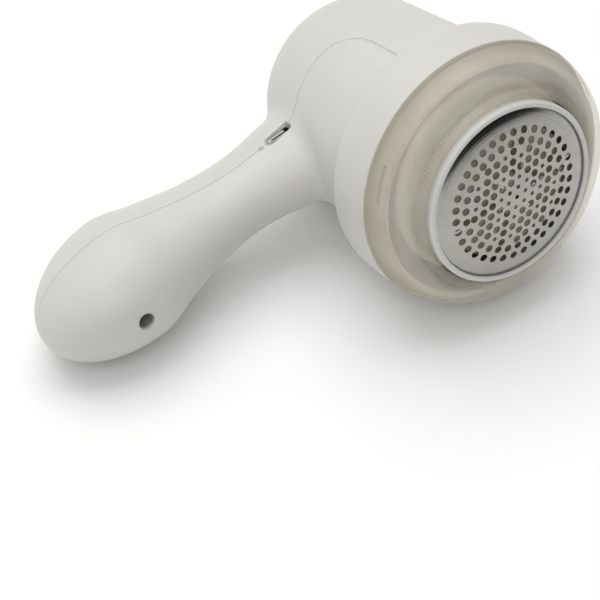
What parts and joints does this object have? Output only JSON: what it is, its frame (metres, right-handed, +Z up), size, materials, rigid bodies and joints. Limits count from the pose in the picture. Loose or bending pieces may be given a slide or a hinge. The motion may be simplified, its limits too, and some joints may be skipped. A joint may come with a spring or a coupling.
{
  "type": "fabric shaver",
  "caption": "Rechargeable fabric shaver: round head with perforated foil, translucent lint cover, motor-driven blades and a bulb-ended handle with charging socket.",
  "frame": {"origin": "on the floor plane, below the middle of the bounding box of the shaver lying on its side", "axes": "+Z up from the floor; -X towards the bulb end of the handle; the foil faces -Y, turned up 11.5 degrees, because the shaver rests on the rim of its bell, the back of its barrel and its bulb"},
  "size_m": [0.1526, 0.0956, 0.0764],
  "materials": {
    "shell_plastic": "fine satin moulded plastic, warm white",
    "cover_plastic": "translucent smoky beige plastic, softly polished",
    "white_plastic": "white moulded plastic",
    "foil_steel": "thin polished stainless steel",
    "inner_plastic": "white moulded plastic",
    "rotor_plastic": "white acetal",
    "black_plastic": "black nylon",
    "blade_steel": "ground steel strip",
    "spring_steel": "bright steel",
    "screw_steel": "zinc plated steel",
    "can_steel": "zinc plated drawn steel",
    "core_steel": null,
    "magnet": "ferrite",
    "brass": "brass and bronze",
    "rubber": "soft rubber",
    "foam": "closed-cell foam",
    "board": "green circuit board",
    "chip": "moulded components",
    "socket_steel": "tin plated steel",
    "light": "clear lens",
    "cell_wrap": "blue shrink wrap",
    "nickel": "nickel strip",
    "wire_red": "red insulation",
    "wire_black": "black insulation",
    "wire_blue": "blue insulation"
  },
  "bodies": {
    "housing": {"battery_cell": "cell_wrap", "battery_lead_black": "wire_black", "battery_lead_red": "wire_red", "battery_pad": "foam", "battery_tabs": "nickel", "board_parts": "chip", "chamber_screws": "screw_steel", "charge_board": "board", "charge_light": "light", "front_shell": "shell_plastic", "handle_screw": "screw_steel", "light_pipe": "light", "lint_chamber": "inner_plastic", "motor_bushes": "brass", "motor_can": "can_steel", "motor_damper": "rubber", "motor_end_cap": "black_plastic", "motor_frame": "inner_plastic", "motor_lead_black": "wire_black", "motor_lead_red": "wire_red", "motor_magnets": "magnet", "motor_screws": "screw_steel", "motor_terminals": "brass", "rear_shell": "shell_plastic", "seal_ring": "rubber", "switch_board": "board", "switch_body": "black_plastic", "switch_lead_blue": "wire_blue", "usb_port": "socket_steel", "usb_tongue": "black_plastic"},
    "lint_cover": {"lint_cover": "cover_plastic"},
    "foil": {"shaving_foil": "foil_steel"},
    "foil_ring": {"foil_ring": "white_plastic"},
    "rotor": {"motor_shaft": "spring_steel", "motor_armature": "core_steel", "motor_commutator": "brass", "drive_hub": "rotor_plastic", "centre_screw": "screw_steel", "blade_spring": "spring_steel"},
    "cutter": {"blade_carrier": "rotor_plastic", "blades": "blade_steel"},
    "button": {"power_button": "shell_plastic", "switch_plunger": "rotor_plastic"}
  },
  "joints": [
    {"name": "cover_pull", "type": "slide", "parent": "housing", "child": "lint_cover", "axis": [0, -0.9799, 0.1994], "range_m": [0, 0.022]},
    {"name": "foil_lift", "type": "slide", "parent": "housing", "child": "foil", "axis": [0, -0.9799, 0.1994], "range_m": [0, 0.012]},
    {"name": "foil_ring_turn", "type": "hinge", "parent": "foil", "child": "foil_ring", "pos_m": [0.03882, -0.04201, 0.04195], "axis": [0, -0.9799, 0.1994], "range_deg": [0, 30]},
    {"name": "blade_spin", "type": "hinge", "parent": "housing", "child": "rotor", "pos_m": [0.03882, -0.04201, 0.04195], "axis": [0, -0.9799, 0.1994], "continuous": true},
    {"name": "blade_float", "type": "slide", "parent": "rotor", "child": "cutter", "axis": [0, 0.9799, -0.1994], "range_m": [0, 0.0008], "stiffness_N_per_m": 600, "springref_m": -0.001, "deforming": ["blade_spring"]},
    {"name": "power_button_press", "type": "slide", "parent": "housing", "child": "button", "axis": [0, -0.9799, 0.1994], "range_m": [0, 0.0004], "stiffness_N_per_m": 2500, "springref_m": -0.0003}
  ]
}
